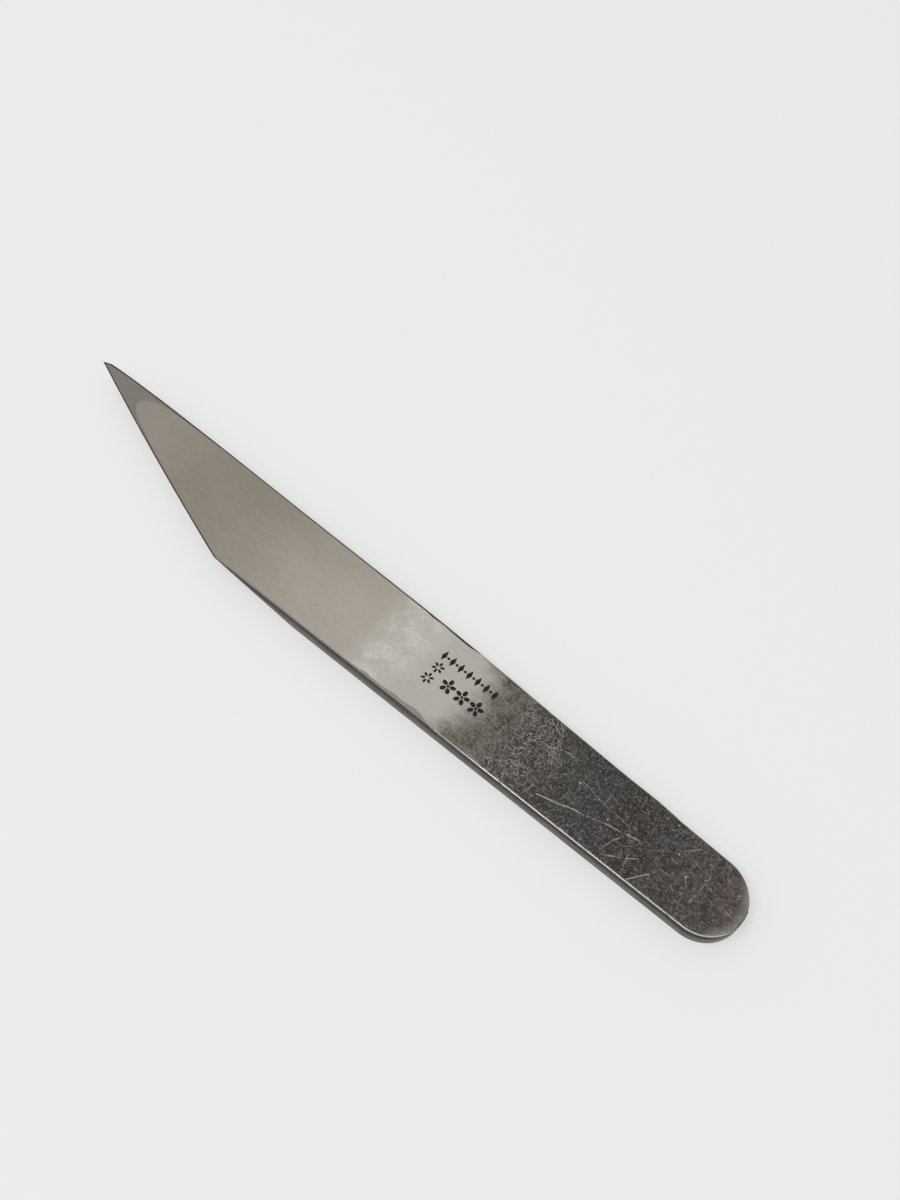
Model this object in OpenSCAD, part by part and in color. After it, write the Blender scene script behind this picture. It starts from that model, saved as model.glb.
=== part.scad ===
// Kiridashi: a single-bevel carving knife forged from soft iron with a plate of hard steel on its back.
// It lies with its hollow-ground back up and its point towards -X. The cutting edge is on the -Y side,
// and the origin is the middle of the rectangle round the knife, on the surface it lies on.

/* [Outline] */
// Length from the point to the end of the handle
overall_l = 178; // [150:1:210]
// Width from the highest line of the spine to the heel
blade_w = 20; // [16:0.1:24]
// Angle between the cutting edge and the length of the knife
edge_angle = 17.25; // [14:0.25:26]
// How far the middle of the cutting edge bows out from a straight line
edge_bow = 0.4; // [0.1:0.05:1.2]
// Length of the short clip from the spine down to the point
clip_l = 2; // [1:0.1:4]
// Height that the clip falls to the point
clip_h = 0.86; // [0.3:0.02:1.6]
// Height that the spine falls from its highest line to the clip
spine_fall = 0.55; // [0:0.05:1.2]
// Distance from the point to where the spine is highest
crest_l = 30; // [15:1:60]
// Distance from the point to the shoulder, where the spine begins to taper
shoulder_l = 105; // [85:1:125]
// Height that the spine has fallen at the shoulder
shoulder_fall = 0.54; // [0:0.02:1.5]
// Width across the round end of the handle
tail_w = 14.4; // [10:0.1:18]
// Height of the round end's centre above the middle of the blade's width
tail_rise = 0.34; // [-1:0.005:1]

/* [Thickness] */
// Thickness of the whole knife
stock_t = 4; // [2.8:0.1:5]
// Leg of the 45 degree break along the handle's straight edges
edge_break = 0.3; // [0.1:0.05:0.8]
// Leg of the heavier break round the end of the handle
end_break = 0.42; // [0.1:0.02:0.8]
// Distance from the point to where the breaks along the handle's upper edges start
break_start_l = 118; // [95:1:140]

/* [Single bevel] */
// Width of the bevel on the underside, square to the cutting edge
bevel_w = 7; // [5:0.1:13]
// Height of the flat that honing leaves on the very edge
edge_flat = 0.05; // [0.02:0.01:0.2]

/* [Hard steel] */
// Distance from the point to the rear end of the hard steel
steel_l = 124; // [105:1:140]
// Thickness of the hard steel
steel_t = 1; // [0.6:0.05:1.6]
// Thickness of the hard steel at its rear end
steel_end_t = 0.35; // [0.2:0.05:0.5]
// Length of the scarf over which the hard steel thins towards its rear end
scarf_l = 12; // [4:1:24]

/* [Ground hollow] */
// Radius of the grinding drum that leaves the hollow
drum_r = 160; // [120:5:300]
// Distance from the point to the front of the hollow
hollow_start = 15.6; // [8:0.2:25]
// Distance from the hollow's rear end to the rear end of the hard steel
hollow_margin = 8; // [1:0.5:14]
// Width of the flat land left beside the hollow
land_w = 0.55; // [0.2:0.05:2]

/* [Hidden] */
$fn = 96;
// Facets of the drum, fine enough that its mesh follows the true arc
drum_fn = 1440;
// Straight steps in the curved front of the spine
spine_steps = 10;
// Straight passes on the stone that leave the bowed cutting edge
edge_steps = 6;
// Spare length by which a cutter passes the surface that it cuts
spare = 5;
// How far the straight sides run inside the round end, so that they cross it and don't just touch it
side_seat = 0.03;

half_l = overall_l / 2;
half_w = blade_w / 2;
tail_r = tail_w / 2;

point = [-half_l, half_w - spine_fall - clip_h];
clip = point + [clip_l, clip_h];
crest = [crest_l - half_l, half_w];
shoulder = [shoulder_l - half_l, half_w - shoulder_fall];
heel = [point.x + (point.y + half_w) / tan(edge_angle), -half_w];
tail_centre = [half_l - tail_r, tail_rise];
tail_top = touch_point(shoulder, -1);
tail_bottom = touch_point(heel, 1);
steel_end_x = steel_l - half_l;

// Where a line from p touches a circle just inside the round end, on the side given by the sign
function touch_point(p, side) =
    let (d = p - tail_centre, r = tail_r - side_seat, a = atan2(d.y, d.x) + side * acos(r / norm(d)))
    tail_centre + r * [cos(a), sin(a)];

// The spine's curved front: a parabola that is level where the spine is highest
function spine_front(x) = half_w - spine_fall * pow((crest.x - x) / (crest.x - clip.x), 2);

// Height of the line through p and q at x
function line_at(p, q, x) = p.y + (q.y - p.y) * (x - p.x) / (q.x - p.x);

function spine_at(x) = x < crest.x ? spine_front(x)
    : x < shoulder.x ? line_at(crest, shoulder, x)
    : line_at(shoulder, tail_top, x);

// The chord of the cutting edge, and the lower side behind the heel
function lower_at(x) = x < heel.x ? line_at(point, heel, x) : line_at(heel, tail_bottom, x);

// Middle of the knife's width at x, as a point on the height z
function middle_at(x, z) = [x, (spine_at(x) + lower_at(x)) / 2, z];

// Depth at which the drum leaves the wanted land on both sides at x
function hollow_depth(x) =
    let (reach = (spine_at(x) - lower_at(x)) / 2 - land_w)
    drum_r - sqrt(drum_r * drum_r - reach * reach);

spine_curve = [for (i = [0:spine_steps]) let (x = clip.x + (crest.x - clip.x) * i / spine_steps)
    [x, spine_front(x)]];

// The cutting edge from the point to the heel, bowed out from its chord
edge_curve = [for (i = [0:edge_steps]) let (u = i / edge_steps)
    point + (heel - point) * u - 4 * edge_bow * u * (1 - u) * [sin(edge_angle), cos(edge_angle)]];

plan_outline = concat(spine_curve, [shoulder, tail_top, tail_centre, tail_bottom],
    [for (i = [edge_steps:-1:0]) edge_curve[i]]);

// The side outline of the hard steel, open above so that it takes all of the bar's upper side
steel_outline = [[-half_l - spare, stock_t - steel_t], [steel_end_x - scarf_l, stock_t - steel_t],
    [steel_end_x, stock_t - steel_end_t], [steel_end_x, stock_t + spare],
    [-half_l - spare, stock_t + spare]];

// Extrudes an outline of X and Z across the whole width
module across_width(outline) {
    translate([0, half_w + spare, 0])
        rotate([90, 0, 0])
            linear_extrude(blade_w + 2 * spare)
                polygon(outline);
}

// Lays its children, made along +X from the origin, from point a towards point b
module lay_from(a, b) {
    d = b - a;
    translate(a)
        rotate([0, -atan2(d.z, norm([d.x, d.y])), atan2(d.y, d.x)])
            children();
}

// Takes a 45 degree break off the straight edge through a and b, from a to past b. The outside of the
// edge is to the side (1 for +Y, -1 for -Y) and up (1) or down (-1). The outline is convex, so what
// runs on past b is clear of the knife.
module straight_break(a, b, side, up) {
    reach = edge_break + spare;
    lay_from(a, b)
        rotate([90, 0, 90])
            linear_extrude(norm(b - a) + spare)
                polygon([[-side * reach, up * spare], [side * spare, up * spare],
                    [side * spare, -up * reach]]);
}

// Both breaks along one side of the handle: the lower one starts at p, the upper behind the ground blade
module handle_breaks(p, q, side) {
    top_x = break_start_l - half_l;
    straight_break([p.x, p.y, 0], [q.x, q.y, 0], side, -1);
    straight_break([top_x, line_at(p, q, top_x), stock_t], [q.x, q.y, stock_t], side, 1);
}

// The round end of the handle, turned with its edges already broken
module round_end() {
    translate(tail_centre)
        rotate_extrude()
            polygon([[0, 0], [tail_r - end_break, 0], [tail_r, end_break],
                [tail_r, stock_t - end_break], [tail_r - end_break, stock_t], [0, stock_t]]);
}

// The bar forged to its outline and thickness, before grinding
module forged_bar() {
    union() {
        difference() {
            linear_extrude(stock_t)
                polygon(plan_outline);
            handle_breaks(shoulder, tail_top, 1);
            handle_breaks(heel, tail_bottom, -1);
            straight_break([-half_l, line_at(crest, shoulder, -half_l), 0],
                [shoulder.x, shoulder.y, 0], 1, -1);
        }
        round_end();
    }
}

// The wedges that grinding takes off the underside to leave the single bevel, one for each straight
// pass. The edge is convex, so what runs on past a pass is clear of the knife.
module bevel_cut() {
    rise = (stock_t - edge_flat) / bevel_w;
    for (i = [0:edge_steps - 1]) {
        run = edge_curve[i + 1] - edge_curve[i];
        translate(edge_curve[i])
            rotate([90, 0, 90 + atan2(run.y, run.x)])
                translate([0, 0, -overall_l / 2])
                    linear_extrude(overall_l * 1.5)
                        polygon([[-spare, stock_t - edge_flat + spare * rise],
                            [bevel_w + spare, -spare * rise], [-spare, -spare * rise]]);
    }
}

// One straight pass of the drum, whose lowest line runs through a and b
module drum_pass(a, b) {
    lay_from(a, b)
        translate([-overall_l, 0, drum_r])
            rotate([0, 90, 0])
                cylinder(r = drum_r, h = 2 * overall_l, $fn = drum_fn);
}

// The hollow is what three passes have in common: one into the point's wedge, one along the blade
// and one that runs out under the front of the handle
module hollow_cut() {
    arch_x = hollow_start - half_l;
    run_out_x = steel_end_x - hollow_margin;
    rear_x = min(shoulder.x, run_out_x - scarf_l);
    front = middle_at(arch_x, stock_t);
    at_heel = middle_at(heel.x, stock_t - hollow_depth(heel.x));
    at_rear = middle_at(rear_x, stock_t - hollow_depth(rear_x));
    run_out = middle_at(run_out_x, stock_t);
    intersection() {
        drum_pass(front, at_heel);
        drum_pass(at_heel, at_rear);
        drum_pass(at_rear, run_out);
    }
}

// Soft iron: the whole bar under the hard steel, with the handle
module soft_iron_body() {
    color("#5b5550")
        difference() {
            forged_bar();
            across_width(steel_outline);
            bevel_cut();
        }
}

// Hard steel: the plate forge-welded to the back, which carries the cutting edge and the hollow
module hard_steel_layer() {
    color("#b3afa6")
        difference() {
            intersection() {
                forged_bar();
                across_width(steel_outline);
            }
            bevel_cut();
            hollow_cut();
        }
}

soft_iron_body();
hard_steel_layer();
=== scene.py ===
import math

import bmesh
import bpy
from bpy.props import FloatProperty, FloatVectorProperty, IntProperty, PointerProperty
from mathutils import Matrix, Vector
from mathutils.kdtree import KDTree


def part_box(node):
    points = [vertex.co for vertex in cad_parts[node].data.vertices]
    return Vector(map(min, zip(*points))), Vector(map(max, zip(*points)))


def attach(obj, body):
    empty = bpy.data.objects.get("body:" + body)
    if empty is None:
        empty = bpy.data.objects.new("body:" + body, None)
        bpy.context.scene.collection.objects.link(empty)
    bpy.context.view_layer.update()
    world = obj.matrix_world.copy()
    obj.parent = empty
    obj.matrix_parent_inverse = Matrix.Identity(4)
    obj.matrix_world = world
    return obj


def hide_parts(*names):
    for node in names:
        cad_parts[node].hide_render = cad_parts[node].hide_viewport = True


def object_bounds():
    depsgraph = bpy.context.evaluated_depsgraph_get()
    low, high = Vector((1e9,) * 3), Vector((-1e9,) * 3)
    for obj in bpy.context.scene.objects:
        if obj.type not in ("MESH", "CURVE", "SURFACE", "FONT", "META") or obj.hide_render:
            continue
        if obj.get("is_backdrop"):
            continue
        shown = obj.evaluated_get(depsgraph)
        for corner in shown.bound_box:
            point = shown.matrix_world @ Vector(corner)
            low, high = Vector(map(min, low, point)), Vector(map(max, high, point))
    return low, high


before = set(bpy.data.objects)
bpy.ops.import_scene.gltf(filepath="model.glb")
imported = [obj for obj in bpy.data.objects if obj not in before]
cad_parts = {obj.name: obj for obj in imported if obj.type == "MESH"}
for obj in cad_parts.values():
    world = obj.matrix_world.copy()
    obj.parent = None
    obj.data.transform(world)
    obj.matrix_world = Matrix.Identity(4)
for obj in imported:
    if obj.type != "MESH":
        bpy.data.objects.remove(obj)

bl_info = {
    "name": "Kiridashi Knife",
    "version": (1, 0, 0),
    "blender": (4, 5, 0),
    "location": "3D View > Sidebar > Kiridashi",
    "description": "Models a single-bevel knife of hard steel forge-welded to soft iron, and its finishes",
    "category": "Add Mesh",
}

MM = 0.001
CAD_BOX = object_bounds()
# Thickness of the bar, from the frame that the knife is built on
STOCK = (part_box("soft_iron_body")[1].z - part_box("soft_iron_body")[0].z) / MM

# The plan of the knife in millimetres from its middle: +X towards the end of the handle, +Y towards the spine
POINT = (-89.0, 8.56)
HEEL = (-29.4, -10.0)
TAIL = (81.85, 0.34)
TAIL_R = 7.15
# The spine as it was forged and filed by eye, with the slight hump and dip near the end of the handle
SPINE = (
    (-87.0, 9.42), (-84.0, 9.60), (-80.5, 9.72), (-77.2, 9.80), (-70.6, 9.92), (-64.1, 9.96), (-54.7, 9.95),
    (-45.5, 9.90), (-33.6, 9.80), (-22.2, 9.70), (-8.6, 9.64), (4.5, 9.57), (12.0, 9.51), (19.4, 9.38),
    (26.5, 9.20), (33.4, 9.01), (40.2, 8.77), (46.9, 8.57), (53.3, 8.38), (59.6, 8.20), (65.7, 8.16),
    (68.4, 8.05), (71.7, 7.76), (76.0, 7.65), (81.85, 7.49),
)
# The blunt front of the ground hollow
ARCH = (
    (-69.0, 8.84), (-70.9, 8.38), (-72.4, 7.68), (-73.1, 6.80), (-73.23, 6.00), (-72.7, 5.04), (-71.2, 3.85),
    (-68.7, 2.74),
)
ARCH_END = -66.0
# Width of the honed land along the spine and along the edge, by place along the knife. The stone touches
# only the high places behind the ground belt, which leaves the waves near the rear ends.
LAND_SPINE = (
    (-66.0, 0.72), (-58.0, 0.46), (-50.0, 0.36), (-20.0, 0.32), (2.8, 0.34), (10.1, 0.37), (12.6, 0.52),
    (15.1, 0.35), (17.5, 0.48), (20.3, 0.54), (22.3, 0.48), (23.8, 0.22), (25.5, 0.0),
)
LAND_EDGE = (
    (-66.0, 0.70), (-60.6, 0.52), (-54.0, 0.44), (-29.4, 0.42), (0.0, 0.36), (5.7, 0.33), (7.7, 0.40),
    (9.8, 0.47), (11.3, 0.76), (12.9, 0.64), (15.5, 0.60), (18.3, 0.88), (20.5, 0.78), (23.2, 1.10),
    (24.9, 0.96), (25.9, 0.62), (27.3, 0.22), (27.9, 0.0),
)
SPINE_LAND_END = 25.5
EDGE_LAND_END = 27.9
# Width of the dark strip at the very outline of the lands, and how steeply it falls on the spine's side
SPINE_CORNER = 0.4
EDGE_CORNER = 0.26
SIDE_CORNER = 0.07
CORNER_FALL = 0.3
# Angle between the cutting edge and the length, in degrees
EDGE_ANGLE = 17.25

# The struck ornament: the row's first lozenge, how many it has and how far apart, and the flowers' middles
ROW, LOZENGES, ROW_GAP = (19.75, 4.4), 7, 2.08
ROSETTES = ((20.6, 1.7), (20.5, -1.2))
BLOSSOMS = ((24.6, 0.0), (28.0, 0.0), (31.4, 0.0))
# Width, height, number of sides and depth of each punch, and how far it stands out of the face that it cuts
LOZENGE = (1.0, 2.3, 4, 0.18)
DOT = (0.6, 0.6, 12, 0.16)
ROSETTE_PETAL = (0.9, 0.52, 12, 0.16)
BLOSSOM_PETAL = (1.25, 0.85, 16, 0.18)
PUNCH_OVER = 0.3

# The material slots of the forged blank
SCALE, GROUND, LAND, WORN, BEVEL, CORNER = range(6)
# Cuts across the ground face, which carry the hollow's curve, and steps round the arch and the round end
ACROSS, ARCH_STEPS, ROUND_STEPS = 24, 12, 44
# Vertices nearer than this are one
MERGE = 0.01 * MM
# How far a vertex may lie off the place that it stands for
SLACK = 0.05 * MM
# Edges that turn by more than this stay crisp
CREASE = math.radians(24)
# Share of the table that is a plain white ground to the camera and to reflections
PLAIN_SHARE = 0.55
# The setting of a Map Range node that eases in and out between its two ends
SMOOTH = {"interpolation_type": "SMOOTHSTEP"}


def linear(code):
    """The linear colour of an sRGB hex value."""
    parts = [int(code[i:i + 2], 16) / 255 for i in (1, 3, 5)]
    return tuple(c / 12.92 if c <= 0.04045 else ((c + 0.055) / 1.055) ** 2.4 for c in parts)


class KiridashiShape(bpy.types.PropertyGroup):
    """Sizes of the blade and the handle"""

    edge_bow: FloatProperty(
        name="Edge Bow", description="How far the middle of the cutting edge bows out from a straight line",
        default=0.4 * MM, min=0.0, soft_max=1.5 * MM, unit="LENGTH")
    edge_passes: IntProperty(
        name="Edge Passes", description="Straight passes on the stone that make up the bowed bevel",
        default=16, min=1, max=32)
    bevel_width: FloatProperty(
        name="Bevel Width", description="Width of the single bevel on the underside, square to the edge",
        default=7 * MM, min=5 * MM, max=14 * MM, unit="LENGTH")
    edge_flat: FloatProperty(
        name="Edge Flat", description="Height of the flat that honing leaves on the very edge",
        default=0.05 * MM, min=0.01 * MM, max=0.2 * MM, unit="LENGTH")
    drum_radius: FloatProperty(
        name="Drum Radius", description="Radius of the drum that ground the hollow",
        default=160 * MM, min=100 * MM, max=400 * MM, unit="LENGTH")
    run_out_start: FloatProperty(
        name="Run-out Start", description="Place along the knife where the hollow begins to run out",
        default=1 * MM, unit="LENGTH")
    run_out_end: FloatProperty(
        name="Run-out End", description="Place along the knife where the hollow has run out",
        default=28 * MM, unit="LENGTH")
    steel_thickness: FloatProperty(
        name="Steel Thickness", description="Thickness of the hard steel on the back",
        default=1 * MM, min=0.5 * MM, max=2 * MM, unit="LENGTH")
    steel_end: FloatProperty(
        name="Steel End", description="Place along the knife where the hard steel ends",
        default=35 * MM, unit="LENGTH")
    steel_end_thickness: FloatProperty(
        name="Steel End Thickness", description="Thickness of the hard steel at its rear end",
        default=0.35 * MM, min=0.1 * MM, max=0.8 * MM, unit="LENGTH")
    scarf_length: FloatProperty(
        name="Scarf Length", description="Length over which the hard steel thins towards its rear end",
        default=12 * MM, min=2 * MM, max=24 * MM, unit="LENGTH")
    top_break: FloatProperty(
        name="Upper Break", description="Width of the rounding on the handle's upper edges",
        default=0.2 * MM, min=0.05 * MM, max=0.8 * MM, unit="LENGTH")
    under_break: FloatProperty(
        name="Lower Break", description="Width of the rounding on the edges that lie on the table",
        default=0.3 * MM, min=0.05 * MM, max=0.8 * MM, unit="LENGTH")


class KiridashiFinish(bpy.types.PropertyGroup):
    """Colours of the bare metal and the forge scale"""

    ground: FloatVectorProperty(
        name="Ground Steel", description="Colour of the belt-ground hollow", subtype="COLOR",
        size=3, min=0, max=1, default=linear("#b2aea6"))
    honed: FloatVectorProperty(
        name="Honed Land", description="Colour of the lands that were honed flat on the stone",
        subtype="COLOR", size=3, min=0, max=1, default=linear("#938c85"))
    scale: FloatVectorProperty(
        name="Forge Scale", description="Colour of the black oxide left from the forge", subtype="COLOR",
        size=3, min=0, max=1, default=linear("#4c4641"))
    worn: FloatVectorProperty(
        name="Worn Edge", description="Colour of the bare metal where handling took the scale off",
        subtype="COLOR", size=3, min=0, max=1, default=linear("#cbc8c2"))
    floor: FloatVectorProperty(
        name="Table", description="Colour of the pale surface under the knife", subtype="COLOR",
        size=3, min=0, max=1, default=linear("#ebebea"))


class KiridashiStage(bpy.types.PropertyGroup):
    """Camera and light"""

    camera_place: FloatVectorProperty(
        name="Camera Place", description="Where the camera stands over the knife", subtype="TRANSLATION",
        size=3, default=(85.77 * MM, -66.53 * MM, 175.76 * MM))
    camera_aim: FloatVectorProperty(
        name="Camera Aim", description="Direction in which the camera looks", subtype="DIRECTION",
        size=3, default=(-0.3616, 0.3965, -0.8438))
    focal_length: FloatProperty(
        name="Focal Length", description="Focal length of the wide lens, for a sensor 24 mm high",
        default=21.0, min=10, max=80, unit="CAMERA")
    room_light: FloatProperty(
        name="Room Light", description="Strength of the even light from all round",
        default=0.71, min=0, max=2)
    softbox_light: FloatProperty(
        name="Softbox Light", description="Strength of the softbox above the knife",
        default=4.4, min=0, max=20)


def smooth_line(points, steps):
    """Points along a smooth curve through the given points, with that many steps from one to the next."""
    ends = [points[0], *points, points[-1]]
    line = []
    for p, a, b, q in zip(ends, ends[1:], ends[2:], ends[3:]):
        for step in range(steps):
            t = step / steps
            line.append(tuple(
                0.5 * (2 * v + (w - u) * t
                       + (2 * u - 5 * v + 4 * w - z) * t * t
                       + (3 * v - u - 3 * w + z) * t ** 3)
                for u, v, w, z in zip(p, a, b, q)))
    return [*line, tuple(points[-1])]


def line_at(line, x):
    """Height at x of a line whose points rise in x."""
    for (ax, ay), (bx, by) in zip(line, line[1:]):
        if x <= bx:
            return ay + (by - ay) * (x - ax) / (bx - ax)
    return line[-1][1]


def hollow_depth(x, y, low, high, drum, start, end):
    """Depth of a drum's curve between two sides, which runs out from start to end along the knife."""
    fade = min(max((end - x) / (end - start), 0.0), 1.0)
    return max((y - low) * (high - y), 0.0) / (2 * drum) * fade * fade * (3 - 2 * fade)


def eased(table, x):
    """Value at x of a table whose entries join in soft waves that never overshoot."""
    for (ax, a), (bx, b) in zip(table, table[1:]):
        if ax <= x <= bx:
            t = (x - ax) / (bx - ax)
            return a + (b - a) * t * t * (3 - 2 * t)
    return 0.0


class Plan:
    """The outline and the lands of the knife in millimetres, seen from above."""

    def __init__(self, shape):
        self.bow = shape.edge_bow / MM
        self.spine = smooth_line(SPINE, 8)
        run = Vector(HEEL) - Vector(POINT)
        self.edge_out = Vector((run.y, -run.x)).normalized()
        self.edge = [tuple(self.edge_point(i / 64)) for i in range(65)]
        self.tail_low = (TAIL[0], TAIL[1] - TAIL_R)
        arch = smooth_line(
            [(ARCH_END, self.spine_at(ARCH_END) - LAND_SPINE[0][1]), *ARCH,
             (ARCH_END, self.low_land(ARCH_END))], 24)
        self.front = min(arch)
        middle = arch.index(self.front)
        self.arch_high = arch[middle::-1]
        self.arch_low = arch[middle:]

    def edge_point(self, u):
        """The cutting edge from the point, u = 0, to the heel, u = 1, bowed out from its chord."""
        chord = Vector(POINT).lerp(Vector(HEEL), u)
        return chord + 4 * self.bow * u * (1 - u) * self.edge_out

    def spine_at(self, x):
        return line_at([POINT, *self.spine], x)

    def low_at(self, x):
        if x <= HEEL[0]:
            return line_at(self.edge, x)
        return line_at([HEEL, self.tail_low], x)

    def high_land(self, x):
        """Inner line of the land along the spine, or the spine itself behind the land."""
        return self.spine_at(x) - eased(LAND_SPINE, x)

    def low_land(self, x):
        lean = abs(self.edge_out.y) if x <= HEEL[0] else 1.0
        return self.low_at(x) + eased(LAND_EDGE, x) / lean

    def hollow(self, x):
        """Lowest and highest side of the hollow at x."""
        if x < ARCH_END:
            return line_at(self.arch_low, x), line_at(self.arch_high, x)
        return self.low_land(x), self.high_land(x)


def stations():
    """Places from the rear of the arch to the round end where the mesh has a line across."""
    corners = {ARCH_END, HEEL[0], SPINE_LAND_END, EDGE_LAND_END, TAIL[0]}
    places = set(corners)
    # The lines lie closest together where the ends of the lands wave
    for start, stop, gap in ((ARCH_END, 4.0, 1.5), (4.0, 30.0, 0.65), (30.0, TAIL[0], 2.0)):
        count = round((stop - start) / gap)
        places |= {start + (stop - start) * i / count for i in range(count)}
    # Of two lines less than 0.2 mm apart only one stays, and a corner goes before the rest
    kept = []
    for x in sorted(places):
        if not kept or x - kept[-1] >= 0.2:
            kept.append(x)
        elif x in corners:
            kept[-1] = x
    return kept


def deselect():
    """Object mode with nothing selected, because operators act on all that is selected."""
    if bpy.context.mode != "OBJECT":
        bpy.ops.object.mode_set(mode="OBJECT")
    bpy.ops.object.select_all(action="DESELECT")


def activate(piece):
    deselect()
    piece.select_set(True)
    bpy.context.view_layer.objects.active = piece


def settle(piece, name):
    """Names a new object and puts its origin, turn and size into its mesh."""
    piece.name = name
    piece.data.name = name
    activate(piece)
    bpy.ops.object.transform_apply(location=True, rotation=True, scale=True)


def pick(kind, test):
    """Selects the vertices, edges or faces of the mesh being edited that pass the test."""
    bpy.ops.mesh.select_mode(type=kind)
    bpy.ops.mesh.select_all(action="DESELECT")
    mesh = bmesh.from_edit_mesh(bpy.context.edit_object.data)
    for part in {"VERT": mesh.verts, "EDGE": mesh.edges, "FACE": mesh.faces}[kind]:
        if test(part):
            part.select_set(True)
    mesh.select_flush_mode()
    bmesh.update_edit_mesh(bpy.context.edit_object.data)


def pick_places(places):
    """Selects the vertices of the mesh being edited that lie at the places, which are in metres."""
    mesh = bmesh.from_edit_mesh(bpy.context.edit_object.data)
    mesh.verts.ensure_lookup_table()
    tree = KDTree(len(mesh.verts))
    for v in mesh.verts:
        tree.insert(v.co, v.index)
    tree.balance()
    wanted = set()
    for place in places:
        _, index, gap = tree.find(place)
        if gap > 2 * MERGE:
            raise RuntimeError(f"no vertex lies at {tuple(place)}")
        wanted.add(index)
    pick("VERT", lambda v: v.index in wanted)


def draw(places):
    """Extrudes the selected vertex from the first place through the rest."""
    for a, b in zip(places, places[1:]):
        bpy.ops.mesh.extrude_region_move(TRANSFORM_OT_translate={"value": Vector(b) - Vector(a)})


def flat(points, height=STOCK):
    """Plan points in millimetres as places in metres."""
    return [Vector((x, y, height)) * MM for x, y in points]


def apply(piece, kind, **settings):
    """Adds a modifier with its settings and applies it."""
    activate(piece)
    modifier = piece.modifiers.new(kind.title(), kind)
    for name, value in settings.items():
        setattr(modifier, name, value)
    bpy.ops.object.modifier_apply(modifier=modifier.name)


def inside(chain, widths):
    """The chain moved to its right by a width for each point. A sharp corner gets both its sides' widths."""
    moved = []
    for i, here in enumerate(chain):
        before, after = Vector(chain[max(i - 1, 0)]), Vector(chain[min(i + 1, len(chain) - 1)])
        runs = [run for run in (Vector(here) - before, after - Vector(here)) if run.length > 0]
        sides = [Vector((run.y, -run.x)).normalized() for run in runs]
        a, b = sides[0], sides[-1]
        if a.dot(b) > 0:
            moved.append(tuple(Vector(here) + (a + b) * widths[i] / (1 + a.dot(b))))
        else:
            cross = a.x * b.y - a.y * b.x
            p, q = widths[i - 1], widths[i + 1]
            moved.append((here[0] + (p * b.y - q * a.y) / cross, here[1] + (q * a.x - p * b.x) / cross))
    return moved


def paint(slot):
    """Gives the selected faces a material slot."""
    bpy.context.edit_object.active_material_index = slot
    bpy.ops.object.material_slot_assign()


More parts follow.
